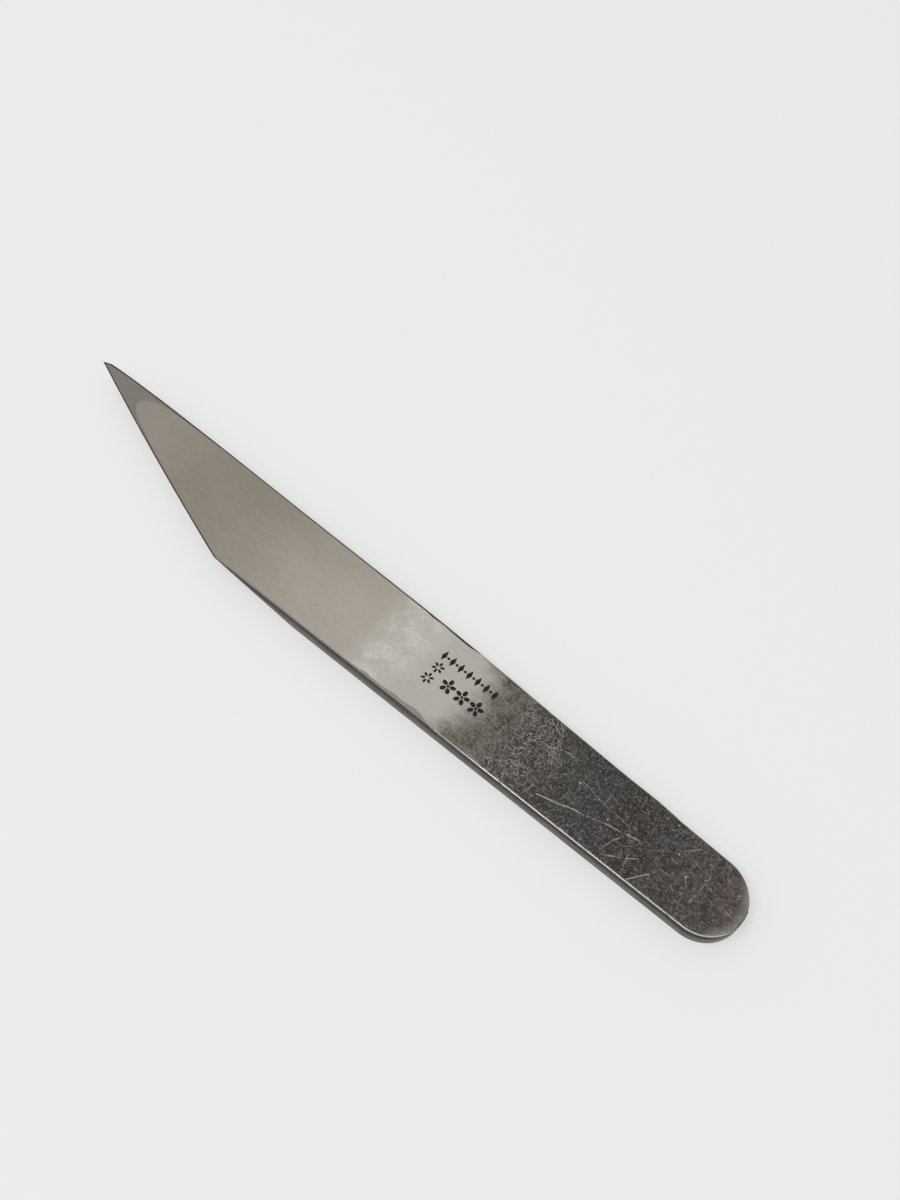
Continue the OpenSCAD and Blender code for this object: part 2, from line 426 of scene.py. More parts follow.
def forge_blank(name, shape, materials):
    """The whole knife as one mesh: forged outline, ground hollow, honed lands, breaks and single bevel."""
    plan = Plan(shape)
    along = stations()
    front_x = plan.front[0]
    arch_x = [front_x + (ARCH_END - front_x) * (k / ARCH_STEPS) ** 2 for k in range(1, ARCH_STEPS)]
    clip = SPINE[0]

    # The lands: a line round the outside and one round the hollow, each from rear end to rear end
    low_x = [x for x in reversed(along) if x <= EDGE_LAND_END]
    high_x = [x for x in along if x <= SPINE_LAND_END]
    outer = [(x, plan.low_at(x)) for x in low_x]
    inner = [(x, plan.low_land(x)) for x in low_x]
    for k in range(1, ARCH_STEPS):
        x = ARCH_END + (POINT[0] - ARCH_END) * k / ARCH_STEPS
        outer.append((x, plan.low_at(x)))
        inner.append((arch_x[-k], line_at(plan.arch_low, arch_x[-k])))
    outer.append(POINT)
    inner.append(plan.front)
    for k in range(1, ARCH_STEPS):
        x = clip[0] + (ARCH_END - clip[0]) * (k - 1) / (ARCH_STEPS - 1)
        outer.append((x, plan.spine_at(x)))
        inner.append((arch_x[k - 1], line_at(plan.arch_high, arch_x[k - 1])))
    outer += [(x, plan.spine_at(x)) for x in high_x]
    inner += [(x, plan.high_land(x)) for x in high_x]
    point_at = outer.index(POINT)

    def corner_width(i):
        """Width of the darker strip at the outline: widest where the spine's corner was rubbed over."""
        x = outer[i][0]
        if i > point_at:
            return min(SPINE_CORNER, 0.8 * eased(LAND_SPINE, x)) if x > ARCH_END else SPINE_CORNER
        if x > HEEL[0]:
            return min(SIDE_CORNER, 0.5 * eased(LAND_EDGE, x))
        return EDGE_CORNER

    rim_line = inside(outer, [corner_width(i) for i in range(len(outer))])

    # The handle: the spine, the round end and the lower side, back to the rear end of the lower land
    handle = [(x, plan.spine_at(x)) for x in along if x > SPINE_LAND_END]
    turn = [math.pi * (0.5 - i / ROUND_STEPS) for i in range(1, ROUND_STEPS)]
    handle += [(TAIL[0] + TAIL_R * math.cos(a), TAIL[1] + TAIL_R * math.sin(a)) for a in turn]
    handle += [(x, plan.low_at(x)) for x in reversed(along) if x > EDGE_LAND_END]

    # A vertex at the rear of the lower land is drawn round the whole outline
    deselect()
    bpy.ops.mesh.primitive_plane_add(size=MM, location=flat([outer[0]])[0])
    piece = bpy.context.active_object
    settle(piece, name)
    for material in materials:
        piece.data.materials.append(material)
    bpy.ops.object.mode_set(mode="EDIT")
    bpy.ops.mesh.select_all(action="SELECT")
    bpy.ops.mesh.merge(type="CENTER")
    draw(flat([*outer, *handle, outer[0]]))
    bpy.ops.mesh.select_all(action="SELECT")
    bpy.ops.mesh.remove_doubles(threshold=MERGE)

    # The walls and the underside
    bpy.ops.mesh.extrude_region_move(TRANSFORM_OT_translate={"value": (0, 0, -STOCK * MM)})
    bpy.ops.mesh.edge_face_add()

    # The line round the hollow, and the lands between it and the outline
    for line in (inner, [outer[0], *rim_line[1:-1], outer[-1]]):
        pick_places(flat([outer[0]]))
        draw(flat(line))
    bpy.ops.mesh.select_all(action="SELECT")
    bpy.ops.mesh.remove_doubles(threshold=MERGE)
    for side, other, slot in ((outer, rim_line, CORNER), (rim_line, inner, LAND)):
        pick_places(flat([*side[1:-1], *other[1:-1]]))
        bpy.ops.mesh.bridge_edge_loops()
        paint(slot)
        for end, near in ((0, 1), (-1, -2)):
            pick_places(flat([outer[end], side[near], other[near]]))
            bpy.ops.mesh.edge_face_add()
            paint(slot)

    # The ground face and the handle's upper face, bridged across from the lower side to the spine
    low_side = [(x, line_at(plan.arch_low, x)) for x in arch_x] + [
        (x, plan.low_land(x) if x <= EDGE_LAND_END else plan.low_at(x)) for x in along]
    high_side = [(x, line_at(plan.arch_high, x)) for x in arch_x] + [
        (x, plan.high_land(x) if x <= SPINE_LAND_END else plan.spine_at(x)) for x in along]
    for a in turn[:ROUND_STEPS // 2 - 1]:
        reach = TAIL[0] + TAIL_R * math.cos(a)
        high_side.append((reach, TAIL[1] + TAIL_R * math.sin(a)))
        low_side.append((reach, TAIL[1] - TAIL_R * math.sin(a)))
    pick_places(flat([*low_side, *high_side]))
    bpy.ops.mesh.bridge_edge_loops(number_cuts=ACROSS, interpolation="LINEAR")
    paint(GROUND)
    for tip, side in ((plan.front, 0), ((TAIL[0] + TAIL_R, TAIL[1]), -1)):
        low, high = Vector(low_side[side]), Vector(high_side[side])
        across = [low.lerp(high, i / (ACROSS + 1)) for i in range(ACROSS + 2)]
        pick_places(flat([tip, *across]))
        bpy.ops.mesh.edge_face_add()
        paint(GROUND)

    # The edge between land and hollow stays crisp
    pick("EDGE", lambda e: {f.material_index for f in e.link_faces} == {GROUND, LAND})
    bpy.ops.mesh.mark_sharp()
    # The rubbed corner falls away from the land
    for i in range(point_at + 1, len(outer) - 1):
        pick_places(flat([outer[i]]))
        bpy.ops.transform.translate(value=(0, 0, -CORNER_FALL * corner_width(i) * MM))
    bpy.ops.mesh.select_all(action="SELECT")
    bpy.ops.mesh.normals_make_consistent(inside=False)
    bpy.ops.object.mode_set(mode="OBJECT")

    # The hollow: a drum's shallow curve across the blade, which runs out under the front of the handle
    drum = shape.drum_radius / MM
    start, end = shape.run_out_start / MM, shape.run_out_end / MM
    group = piece.vertex_groups.new(name="hollow")
    for v in piece.data.vertices:
        x, y = v.co.x / MM, v.co.y / MM
        if v.co.z < STOCK * MM / 2 or not front_x < x < end:
            continue
        depth = hollow_depth(x, y, *plan.hollow(x), drum, start, end)
        if depth > 0:
            group.add([v.index], depth, "REPLACE")
    apply(piece, "DISPLACE", direction="Z", mid_level=0.0, strength=-MM, vertex_group="hollow")

    # The breaks: a narrow one on the handle's upper edges and a wider one underneath
    bpy.ops.object.mode_set(mode="EDIT")
    half = STOCK * MM / 2

    def rim(edge, high):
        walls = [f for f in edge.link_faces if abs(f.normal.z) < 0.3]
        level = all((v.co.z > half) == high for v in edge.verts)
        return level and len(walls) == 1

    def behind(edge):
        side = SPINE_LAND_END if edge.verts[0].co.y > 0 else EDGE_LAND_END
        return min(v.co.x for v in edge.verts) > side * MM - SLACK

    def off_the_bevel(edge):
        front, side = (min(v.co[axis] for v in edge.verts) for axis in (0, 1))
        return front > HEEL[0] * MM - SLACK or side > (POINT[1] + 0.5) * MM

    pick("EDGE", lambda e: rim(e, True) and behind(e))
    bpy.ops.mesh.bevel(offset=shape.top_break, segments=3, affect="EDGES", material=WORN)
    pick("EDGE", lambda e: rim(e, False) and off_the_bevel(e))
    bpy.ops.mesh.bevel(offset=shape.under_break, segments=2, affect="EDGES", material=SCALE)

    # The bevel: one straight pass on the stone after another along the bowed edge
    rise = (STOCK * MM - shape.edge_flat) / shape.bevel_width
    passes = shape.edge_passes
    for i in range(passes):
        a, b = (Vector(plan.edge_point(u)) for u in (i / passes, (i + 1) / passes))
        out = Vector((b.y - a.y, a.x - b.x)).normalized()
        below = Vector((out.x * rise, out.y * rise, -1)).normalized()
        bpy.ops.mesh.select_all(action="SELECT")
        bpy.ops.mesh.bisect(
            plane_co=Vector((a.x, a.y, STOCK)) * MM - Vector((0, 0, shape.edge_flat)),
            plane_no=below, use_fill=True, clear_outer=True, threshold=1e-7)
        pick("FACE", lambda f: f.normal.dot(below) > 0.9999995)
        paint(BEVEL)
    bpy.ops.mesh.select_all(action="SELECT")
    bpy.ops.mesh.normals_make_consistent(inside=False)
    bpy.ops.object.mode_set(mode="OBJECT")
    return piece


def steel_region(shape):
    """The space that the hard steel takes, as a block to cut with: its scarf rises towards the rear. The
    block has room to spare in front, at the sides and above."""
    low = STOCK * MM - shape.steel_thickness
    deselect()
    bpy.ops.mesh.primitive_cube_add(size=1)
    block = bpy.context.active_object
    front, rear, over = CAD_BOX[0].x - 5 * MM, shape.steel_end, STOCK * MM + 2 * MM
    block.scale = (rear - front, 40 * MM, over - low)
    block.location = ((front + rear) / 2, 0, (low + over) / 2)
    settle(block, "steel_region")
    bpy.ops.object.mode_set(mode="EDIT")
    bpy.ops.mesh.select_all(action="SELECT")
    bpy.ops.mesh.bisect(plane_co=(shape.steel_end - shape.scarf_length, 0, 0), plane_no=(1, 0, 0))
    pick("VERT", lambda v: v.co.x > rear - MM and v.co.z < low + MM)
    bpy.ops.transform.translate(value=(0, 0, shape.steel_thickness - shape.steel_end_thickness))
    bpy.ops.object.mode_set(mode="OBJECT")
    return block


def cut(piece, cutter, operation, **settings):
    """Cuts a piece with another and removes the cutter."""
    apply(piece, "BOOLEAN", object=cutter, operation=operation, solver="EXACT", **settings)
    bpy.data.objects.remove(cutter)


def finish_piece(piece, node):
    """Cleans and shades a piece and puts it in place of its CAD node."""
    activate(piece)
    bpy.ops.object.mode_set(mode="EDIT")
    bpy.ops.mesh.select_all(action="SELECT")
    bpy.ops.mesh.dissolve_degenerate(threshold=0.0002 * MM)
    bpy.ops.object.mode_set(mode="OBJECT")
    bpy.ops.object.shade_smooth_by_angle(angle=CREASE, keep_sharp_edges=True)
    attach(piece, "root")
    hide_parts(node)


def rgba(colour):
    """A shader's colour from a property's colour, or from an sRGB hex value."""
    return (*(linear(colour) if isinstance(colour, str) else colour[:3]), 1.0)


def node_adder(tree):
    """The function that adds a node to the tree with its settings and links. links holds the inputs by name
    or number. Each is a value, an output, or another node, which stands for its first output in use."""
    def add(kind, links=None, **settings):
        node = tree.nodes.new("ShaderNode" + kind)
        for name, value in settings.items():
            setattr(node, name, value)
        for socket, source in (links or {}).items():
            if isinstance(source, bpy.types.Node):
                source = next(output for output in source.outputs if output.enabled)
            if isinstance(source, bpy.types.NodeSocket):
                tree.links.new(source, node.inputs[socket])
            else:
                node.inputs[socket].default_value = source
        return node
    return add


def new_material(name):
    """An empty material and the function that adds nodes to it."""
    material = bpy.data.materials.new(name)
    material.use_nodes = True
    material.node_tree.nodes.clear()
    return material, node_adder(material.node_tree)


def millimetres(add):
    """The place on the knife in millimetres, so that every pattern below has its real size."""
    place = add("TexCoord").outputs["Object"]
    return add("VectorMath", {0: place, "Scale": 1000.0}, operation="SCALE")


def grain(add, place, size, detail=2.0, seed=0.0):
    """Noise whose grains have the given lengths in millimetres along X, Y and Z."""
    shift = (seed, 0.7 * seed, 0.3 * seed)
    scaled = add("VectorMath", {0: place, 1: tuple(1 / s for s in size), 2: shift}, operation="MULTIPLY_ADD")
    return add("TexNoise", {"Vector": scaled, "Scale": 1.0, "Detail": detail})


def tint(add, body, colour, source, low, high, most=1.0):
    """The body's colour, which goes over into another as the source runs from low to high, up to a share."""
    share = add("MapRange", {0: source, 1: low, 2: high, 4: most}, **SMOOTH)
    return add("Mix", {0: share, 6: body, 7: rgba(colour)}, data_type="RGBA")


def satin(add, body, source, smooth, rough, depth=0.0, metallic=1.0):
    """Ends a metal whose gloss follows a pattern. With a depth in millimetres the pattern is relief too."""
    gloss = add("MapRange", {0: source, 1: 0.3, 2: 0.7, 3: smooth, 4: rough}, **SMOOTH)
    links = {"Base Color": body, "Metallic": metallic, "Roughness": gloss}
    if depth:
        links["Normal"] = add("Bump", {"Height": source, "Distance": depth * MM})
    add("OutputMaterial", {"Surface": add("BsdfPrincipled", links)})


def warped(add, place, size, amount, seed=0.0):
    """The place pushed about by slow noise, which bends what is drawn on it. Sizes are in millimetres."""
    noise = add("TexNoise", {
        "Vector": add("VectorMath", {0: place, 1: (seed, seed, seed)}, operation="ADD"),
        "Scale": 1 / size, "Detail": 2.0})
    push = add("VectorMath", {0: noise.outputs["Color"], 1: (2 * amount,) * 3, 2: (-amount,) * 3},
               operation="MULTIPLY_ADD")
    return add("VectorMath", {0: place, 1: push}, operation="ADD")


def hairs(add, place, cell, length, width, share, seed=0.0):
    """Short scratches at random turns, at most one in each cell of the given size in millimetres."""
    moved = add("VectorMath", {0: place, 1: (seed, seed, 0)}, operation="ADD")
    cells = add("TexVoronoi", {"Vector": moved, "Scale": 1 / cell}, voronoi_dimensions="2D")
    off = add("VectorMath", {0: moved, 1: cells.outputs["Position"]}, operation="SUBTRACT")
    chance = add("SeparateColor", {0: cells.outputs["Color"]})
    turn = add("Math", {0: chance.outputs[0], 1: 2 * math.pi}, operation="MULTIPLY")
    turned = add("VectorRotate", {"Vector": off, "Angle": turn}, rotation_type="Z_AXIS")
    apart = add("SeparateXYZ", {0: turned})
    run = add("Math", {0: apart.outputs["X"]}, operation="ABSOLUTE")
    side = add("Math", {0: apart.outputs["Y"]}, operation="ABSOLUTE")
    ends = add("MapRange", {0: run, 1: 0.25 * length, 2: 0.5 * length, 3: 1.0, 4: 0.0}, **SMOOTH)
    line = add("MapRange", {0: side, 1: 0.2 * width, 2: width, 3: 1.0, 4: 0.0}, **SMOOTH)
    kept = add("MapRange", {0: chance.outputs[1], 1: 1 - share, 2: 1.0}, **SMOOTH)
    whole = add("Math", {0: ends, 1: line}, operation="MULTIPLY")
    return add("Math", {0: whole, 1: kept}, operation="MULTIPLY")


def worms(add, place, size, width, seed=0.0):
    """Wriggling thin lines: the places where slow noise passes its middle value."""
    noise = grain(add, place, (size, size, size), 2.0, seed)
    off = add("Math", {0: noise, 1: 0.5}, operation="SUBTRACT")
    gap = add("Math", {0: off}, operation="ABSOLUTE")
    return add("MapRange", {0: gap, 1: 0.2 * width, 2: width, 3: 1.0, 4: 0.0}, **SMOOTH)


def scratch(add, place, start, end, width):
    """One long scratch between two places in millimetres, which thins out at its ends."""
    a, b = Vector((*start, 0)), Vector((*end, 0))
    run = (b - a).normalized()
    off = add("VectorMath", {0: place, 1: a}, operation="SUBTRACT")
    reach = add("VectorMath", {0: off, 1: run}, operation="DOT_PRODUCT")
    held = add("Clamp", {"Value": reach, "Min": 0.0, "Max": (b - a).length})
    foot = add("VectorMath", {0: run, "Scale": held}, operation="SCALE")
    gap = add("VectorMath", {0: off, 1: foot}, operation="DISTANCE")
    return add("MapRange", {0: gap, 1: 0.25 * width, 2: width, 3: 1.0, 4: 0.0}, **SMOOTH)


def spot(add, place, centre, radius):
    """A soft round patch about a place in millimetres."""
    far = add("VectorMath", {0: place, 1: (*centre, 0)}, operation="DISTANCE")
    return add("MapRange", {0: far, 1: 0.2 * radius, 2: radius, 3: 1.0, 4: 0.0}, **SMOOTH)


# Long scratches on the handle: start, end, width in millimetres, and how bright each is
SCRATCHES = (
    ((50.1, -5.2), (60.1, -2.0), 0.14, 0.95), ((60.1, -2.0), (69.0, 0.2), 0.13, 0.85),
    ((54.5, 2.1), (59.0, 1.4), 0.13, 0.45), ((59.0, 1.4), (65.7, 0.8), 0.12, 0.35),
    ((46.0, 3.1), (48.6, 4.4), 0.16, 0.9), ((48.6, 4.4), (50.6, 4.6), 0.14, 0.6),
    ((65.2, -6.0), (67.8, -4.4), 0.15, 0.7), ((68.4, -3.8), (70.2, -2.6), 0.16, 0.8),
    ((70.6, -6.7), (73.0, -3.5), 0.17, 0.8), ((77.8, 0.3), (78.9, -1.3), 0.14, 0.5),
    ((81.0, 3.2), (80.7, -2.9), 0.13, 0.6), ((59.7, 4.5), (60.1, 0.1), 0.12, 0.35),
    ((48.6, -4.4), (48.0, -7.4), 0.14, 0.6), ((75.3, 4.0), (77.2, 6.2), 0.14, 0.55),
    ((64.4, -5.0), (65.4, -1.8), 0.14, 0.6), ((73.8, -1.6), (75.8, -1.3), 0.13, 0.5),
    ((75.8, -1.3), (77.6, -3.2), 0.12, 0.45),
)
# The dark nick in the spine's corner
NICK = ((-20.7, 9.5), 0.45)
# Small bright dings on the handle: place and radius in millimetres
DINGS = (
    ((54.5, 1.5), 0.30), ((71.7, 6.8), 0.22), ((74.7, 2.7), 0.28), ((80.6, 2.0), 0.20), ((86.2, 3.6), 0.24),
    ((62.1, -0.5), 0.28), ((57.3, 5.0), 0.20), ((77.8, 0.3), 0.30),
)
# Oxide colours of the scale, from the blade towards the end of the handle: where each starts and is full
OXIDE_BANDS = (
    (49.6, 53.0, "#40453f"), (54.4, 57.4, "#3b4144"), (59.1, 62.1, "#423e3d"), (62.6, 65.6, "#433c38"),
    (67.6, 72.6, "#4a4643"), (74.7, 79.7, "#534e4a"), (81.7, 87.7, "#5a5350"),
)
# Patches of other oxide colours: place, radius and colour
OXIDE_PATCHES = (
    ((60.6, 6.3), 3.2, "#3e4640"), ((72.3, 4.1), 4.0, "#424849"), ((61.6, -4.6), 3.0, "#42424a"),
    ((83.8, 4.2), 3.6, "#5d504d"), ((86.4, -0.3), 3.0, "#5d504d"), ((56.8, 4.9), 3.0, "#3d4246"),
)


def ground_over_scale(finish):
    """Steel ground on a fine belt, over black forge scale that the belt didn't reach behind the blade: a
    pale satin that stretches highlights across the blade, then a ragged fade into brown-black, green and
    blue oxide under fine scratches."""
    material, add = new_material("belt_ground_steel_over_forge_scale")
    mm = millimetres(add)
    top = add("VectorMath", {0: mm, 1: (1, 1, 0)}, operation="MULTIPLY")
    split = add("SeparateXYZ", {0: mm})
    x, y = split.outputs["X"], split.outputs["Y"]

    # Belt lines lie 0.05 mm apart, too close to see from here, so they are drawn 0.4 mm apart
    lines = grain(add, mm, (2.6, 0.4, 1.0))
    cloud = grain(add, mm, (10.0, 5.0, 5.0), seed=3.0)

    # A film of old oil warms the steel, most of all in the middle of the blade
    steel = rgba("#a69e94")
    for start, full, colour in (
            (-64.0, -46.0, "#9b9486"), (-40.0, -6.0, "#a9a298"), (-2.0, 24.0, finish.ground)):
        steel = tint(add, steel, colour, x, start, full)
    # It lies thicker along the spine
    # Painted shade: over the middle of the blade the steel is drawn darker towards the spine, where it
    # reflects a dimmer part of the room
    painted_spine_shade = add("MapRange", {0: y, 1: 0.0, 2: 9.0, 4: 0.2}, **SMOOTH)
    for start, full in ((-46.0, -28.0), (12.0, -8.0)):
        share = add("MapRange", {0: x, 1: start, 2: full}, **SMOOTH)
        painted_spine_shade = add("Math", {0: painted_spine_shade, 1: share}, operation="MULTIPLY")
    steel = add("Mix", {0: painted_spine_shade, 6: steel, 7: rgba("#6f6a62")}, data_type="RGBA")
    steel = tint(add, steel, "#e6e3dc", lines, 0.35, 0.65, 0.045)
    steel = tint(add, steel, "#6f6a62", cloud, 0.35, 0.65, 0.04)

    # Where the belt was lifted off it dragged the metal into short bright flecks. Under them a painted
    # highlight brightens the whole band, where the lamp's reflection lies
    torn = add("SeparateXYZ", {0: warped(add, mm, 1.2, 0.9, 4.0)}).outputs["X"]
    begin = add("MapRange", {0: torn, 1: 3.5, 2: 10.5}, **SMOOTH)
    end = add("MapRange", {0: torn, 1: 12.5, 2: 20.0, 3: 1.0, 4: 0.0}, **SMOOTH)
    belt_lift_and_sheen = add("Math", {0: begin, 1: end}, operation="MULTIPLY")
    fleck_over_sheen = grain(add, warped(add, mm, 1.5, 0.5, 7.0), (0.7, 0.3, 1.0), 3.0, 9.0)
    # The lowest share is the painted highlight, laid over the band even between the flecks
    fleck_over_sheen = add("MapRange", {0: fleck_over_sheen, 1: 0.38, 2: 0.66, 3: 0.22, 4: 0.58}, **SMOOTH)
    uneven = grain(add, mm, (4.0, 3.0, 2.0), 2.0, 19.0)
    uneven = add("MapRange", {0: uneven, 1: 0.38, 2: 0.6, 3: 0.45, 4: 1.0}, **SMOOTH)
    drag_and_sheen = add("Math", {0: belt_lift_and_sheen, 1: fleck_over_sheen}, operation="MULTIPLY")
    bright = add("Math", {0: drag_and_sheen, 1: uneven}, operation="MULTIPLY")
    steel = add("Mix", {0: bright, 6: steel, 7: rgba("#dcd9d2")}, data_type="RGBA")

    # One hair-thin scratch and a few specks on the ground face
    nick = scratch(add, warped(add, top, 2.0, 0.25), (14.6, 1.6), (13.4, -1.4), 0.12)
    for centre, radius in (((-6.4, -4.1), 0.45), ((-2.6, -7.7), 0.3), NICK):
        nick = add("Math", {0: nick, 1: spot(add, top, centre, radius)}, operation="MAXIMUM")
    nick = add("Math", {0: nick, 1: 0.4}, operation="MULTIPLY")
    steel = add("Mix", {0: nick, 6: steel, 7: rgba("#77716a")}, data_type="RGBA")

    # Where the belt stops: last in the middle of the width, in a soft and ragged front
    ragged = grain(add, mm, (3.2, 2.4, 2.0), 4.0, 11.0)
    middle = add("Math", {0: y, 1: 1.0}, operation="SUBTRACT")
    bulge = add("Math", {0: middle, 1: middle}, operation="MULTIPLY")
    front = add("Math", {0: bulge, 1: 0.045, 2: x}, operation="MULTIPLY_ADD")
    front = add("Math", {0: ragged, 1: 6.0, 2: front}, operation="MULTIPLY_ADD")
    scaled = add("MapRange", {0: front, 1: 30.1, 2: 38.4}, **SMOOTH)

    # The scale's oxide colours lie in bands that slant across the handle, with soft patches over them
    bent = warped(add, top, 3.0, 1.8, 2.0)
    apart = add("SeparateXYZ", {0: bent})
    along = add("Math", {0: apart.outputs["Y"], 1: 0.32, 2: apart.outputs["X"]}, operation="MULTIPLY_ADD")
    oxide = tint(add, rgba("#6d6760"), "#46413d", x, 35.5, 42.0)
    for start, full, code in OXIDE_BANDS:
        oxide = tint(add, oxide, code, along, start, full)
    for centre, radius, code in OXIDE_PATCHES:
        share = add("Math", {0: spot(add, bent, centre, radius), 1: 0.8}, operation="MULTIPLY")
        oxide = add("Mix", {0: share, 6: oxide, 7: rgba(code)}, data_type="RGBA")

    # Dark clouds in the scale, and the speckle of its crust, 0.4 mm across
    mottle = grain(add, mm, (2.4, 2.4, 2.4), 4.0, 61.0)
    oxide = tint(add, oxide, "#2e2a27", mottle, 0.52, 0.34, 0.45)
    crust = grain(add, mm, (0.38, 0.38, 0.38), 3.0, 17.0)
    oxide = tint(add, oxide, "#262220", crust, 0.54, 0.36, 0.45)
    oxide = tint(add, oxide, "#86817c", crust, 0.53, 0.72, 0.6)

    # Fine scratches at all turns: a dense fur behind the ground face, and fewer towards the end
    curl = warped(add, top, 2.6, 0.3, 5.0)
    fur = add("Math", {0: worms(add, curl, 2.0, 0.014, 31.0), 1: 0.45}, operation="MULTIPLY")
    for cell, length, seed in ((0.8, 1.4, 0.0), (0.9, 1.5, 13.0), (1.1, 1.9, 23.0), (1.2, 2.2, 53.0),
                               (1.4, 2.6, 67.0)):
        fur = add("Math", {0: fur, 1: hairs(add, curl, cell, length, 0.065, 0.9, seed)}, operation="MAXIMUM")
    fur_begin = add("MapRange", {0: front, 1: 39.5, 2: 45.0}, **SMOOTH)
    fur_end = add("MapRange", {0: front, 1: 48.0, 2: 56.0, 3: 1.0, 4: 0.2}, **SMOOTH)
    patchy = grain(add, mm, (3.2, 3.2, 3.2), 2.0, 43.0)
    patchy = add("MapRange", {0: patchy, 1: 0.36, 2: 0.58, 3: 0.45, 4: 1.0}, **SMOOTH)
    for share in (fur_begin, fur_end, patchy):
        fur = add("Math", {0: fur, 1: share}, operation="MULTIPLY")
    sparse = hairs(add, curl, 1.7, 2.2, 0.075, 0.7, 29.0)
    sparse = add("Math", {0: sparse, 1: hairs(add, bent, 3.4, 4.0, 0.08, 0.5, 41.0)}, operation="MAXIMUM")
    bare = add("Math", {0: sparse, 1: 0.5}, operation="MULTIPLY")
    bare = add("Math", {0: bare, 1: fur}, operation="MAXIMUM")
    wander = warped(add, top, 3.0, 0.3, 9.0)
    for start, end, width, strength in SCRATCHES:
        line = scratch(add, wander, start, end, width)
        line = add("Math", {0: line, 1: strength}, operation="MULTIPLY")
        bare = add("Math", {0: bare, 1: line}, operation="MAXIMUM")
    for centre, radius in DINGS:
        bare = add("Math", {0: bare, 1: spot(add, top, centre, radius)}, operation="MAXIMUM")
    # The corner of the round end is rubbed too, well into the upper face
    far = add("VectorMath", {0: top, 1: (*TAIL, 0)}, operation="DISTANCE")
    rubbed = add("MapRange", {0: far, 1: TAIL_R - 1.8, 2: TAIL_R - 0.2, 4: 0.5})
    rear = add("MapRange", {0: x, 1: 84.0, 2: 87.0}, **SMOOTH)
    rubbed = add("Math", {0: rubbed, 1: rear}, operation="MULTIPLY")
    bare = add("Math", {0: bare, 1: rubbed}, operation="MAXIMUM")
    shown = add("Math", {0: bare, 1: 0.7}, operation="MULTIPLY")
    oxide = add("Mix", {0: shown, 6: oxide, 7: rgba("#c2beb6")}, data_type="RGBA")

    colour = add("Mix", {0: scaled, 6: steel, 7: oxide}, data_type="RGBA")
    gloss_steel = add("MapRange", {0: lines, 1: 0.3, 2: 0.7, 3: 0.28, 4: 0.30}, **SMOOTH)
    gloss_scale = add("MapRange", {0: crust, 1: 0.3, 2: 0.7, 3: 0.36, 4: 0.50}, **SMOOTH)
    gloss = add("Mix", {0: scaled, 2: gloss_steel, 3: gloss_scale})

    # Relief: flecks a micron or two deep on the steel, and crust and scratches of 0.02 mm on the scale
    drag_and_sheen = add("Math", {0: drag_and_sheen, 1: 0.12}, operation="MULTIPLY")
    pits = add("Math", {0: crust, 1: bare}, operation="SUBTRACT")
    relief = add("Mix", {0: scaled, 2: drag_and_sheen, 3: pits})
    normal = add("Bump", {"Height": relief, "Distance": 0.02 * MM})
    # The lines run lengthwise, wavering slightly, so the light spreads across them
    waver = add("MapRange", {0: cloud, 1: 0.3, 2: 0.7, 3: -0.06, 4: 0.06})
    across = add("CombineXYZ", {"X": waver, "Y": 1.0})
    shader = add("BsdfPrincipled", {
        "Base Color": colour, "Metallic": 1.0, "Roughness": gloss, "Anisotropic": 0.6, "Tangent": across,
        "Normal": normal})
    add("OutputMaterial", {"Surface": shader})
    return material


def honed_land(finish):
    """Hard steel honed flat on a stone: a smooth satin, darker and browner than the ground hollow."""
    material, add = new_material("stone_honed_hard_steel")
    mm = millimetres(add)
    # Honing lines slant across the blade. They lie 0.02 mm apart and are drawn 0.12 mm apart
    slant = add("VectorRotate", {"Vector": mm, "Angle": math.radians(22)}, rotation_type="Z_AXIS")
    lines = grain(add, slant, (9.0, 0.12, 1.0), seed=4.0)
    cloud = grain(add, mm, (5.0, 2.0, 2.0), seed=8.0)
    body = tint(add, rgba(finish.honed), "#c4beb6", lines, 0.35, 0.65, 0.04)
    body = tint(add, body, "#6e665f", cloud, 0.35, 0.65, 0.12)
    satin(add, body, lines, 0.26, 0.34, 0.001)
    return material


def rubbed_corner():
    """The very outline of the blade, rubbed over: a thin dark line round the bright steel, painted shade
    on the corner.
    """
    material, add = new_material("painted_shade_rubbed_corner")
    mm = millimetres(add)
    # Painted shade: the corner strip is drawn dark, in spots; the nick below is a real mark
    spots = grain(add, mm, (1.2, 0.5, 0.5), 3.0, 6.0)
    body = tint(add, rgba("#37332f"), "#534d48", spots, 0.35, 0.7)
    level = add("VectorMath", {0: mm, 1: (1, 1, 0)}, operation="MULTIPLY")
    body = add("Mix", {0: spot(add, level, *NICK), 6: body, 7: rgba("#1d1a18")}, data_type="RGBA")
    satin(add, body, spots, 0.34, 0.46)
    return material


